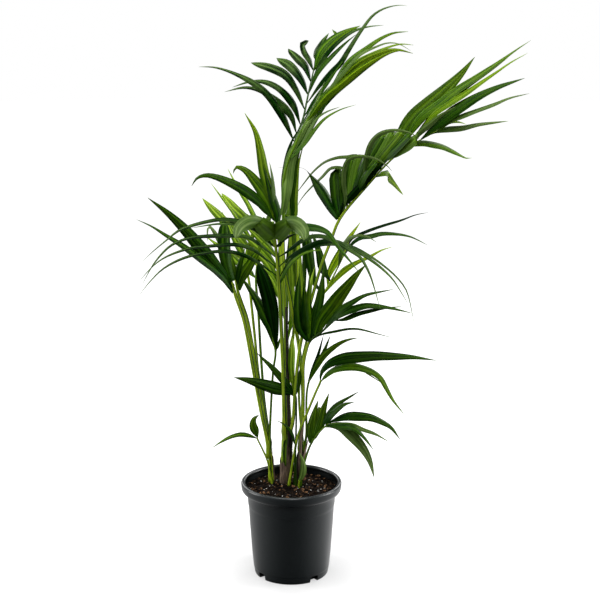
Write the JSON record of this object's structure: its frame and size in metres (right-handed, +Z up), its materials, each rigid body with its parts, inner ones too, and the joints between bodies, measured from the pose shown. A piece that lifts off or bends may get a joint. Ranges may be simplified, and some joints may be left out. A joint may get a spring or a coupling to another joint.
{
  "type": "potted kentia palm",
  "caption": "Kentia palm in a round black nursery pot: slim stems rise from the soil and carry arching feather fronds of long narrow leaflets.",
  "frame": {"origin": "middle of the pot's flat underside, on the ground", "axes": "+Z up the plant, +Y away from its front, +X towards the side where the widest frond reaches out"},
  "size_m": [0.7698, 0.5057, 1.1706],
  "materials": {
    "leaf": "satin green leaf, dark above and paler yellow-green below",
    "stalk": "smooth yellow-green leaf stalk",
    "sheath": "fibrous brown leaf sheath over a green stem",
    "pot": "charcoal moulded plastic with a soft sheen",
    "soil": "dark bark and peat potting mix with small white perlite grains"
  },
  "bodies": {
    "root": {"back_centre_left": "leaf", "back_centre_right": "leaf", "back_centre_stalk": "stalk", "back_left_left": "leaf", "back_left_right": "leaf", "back_left_stalk": "stalk", "centre_stem": "sheath", "dark_inner_left": "leaf", "dark_inner_right": "leaf", "dark_inner_stalk": "stalk", "front_left": "leaf", "front_right": "leaf", "front_stalk": "stalk", "left_back_left": "leaf", "left_back_right": "leaf", "left_back_stalk": "stalk", "left_inner_left": "leaf", "left_inner_right": "leaf", "left_inner_stalk": "stalk", "left_left": "leaf", "left_right": "leaf", "left_stalk": "stalk", "left_stem": "sheath", "low_inner_leaves": "leaf", "low_inner_stalk": "stalk", "low_left_leaves": "leaf", "low_left_stalk": "stalk", "low_right_left": "leaf", "low_right_right": "leaf", "low_right_stalk": "stalk", "pot": "pot", "right_back_left": "leaf", "right_back_right": "leaf", "right_back_stalk": "stalk", "right_left": "leaf", "right_right": "leaf", "right_stalk": "stalk", "right_stem": "sheath", "scale_leaf_leaves": "leaf", "scale_leaf_stalk": "stalk", "small_leaf_leaves": "leaf", "small_leaf_stalk": "stalk", "small_right_leaves": "leaf", "small_right_stalk": "stalk", "soil": "soil", "top_left": "leaf", "top_right": "leaf", "top_stalk": "stalk", "two_leaf_leaves": "leaf", "two_leaf_stalk": "stalk", "upper_left_left": "leaf", "upper_left_right": "leaf", "upper_left_stalk": "stalk", "upper_right_left": "leaf", "upper_right_right": "leaf", "upper_right_stalk": "stalk", "young_left": "leaf", "young_right": "leaf", "young_stalk": "stalk"}
  },
  "joints": []
}
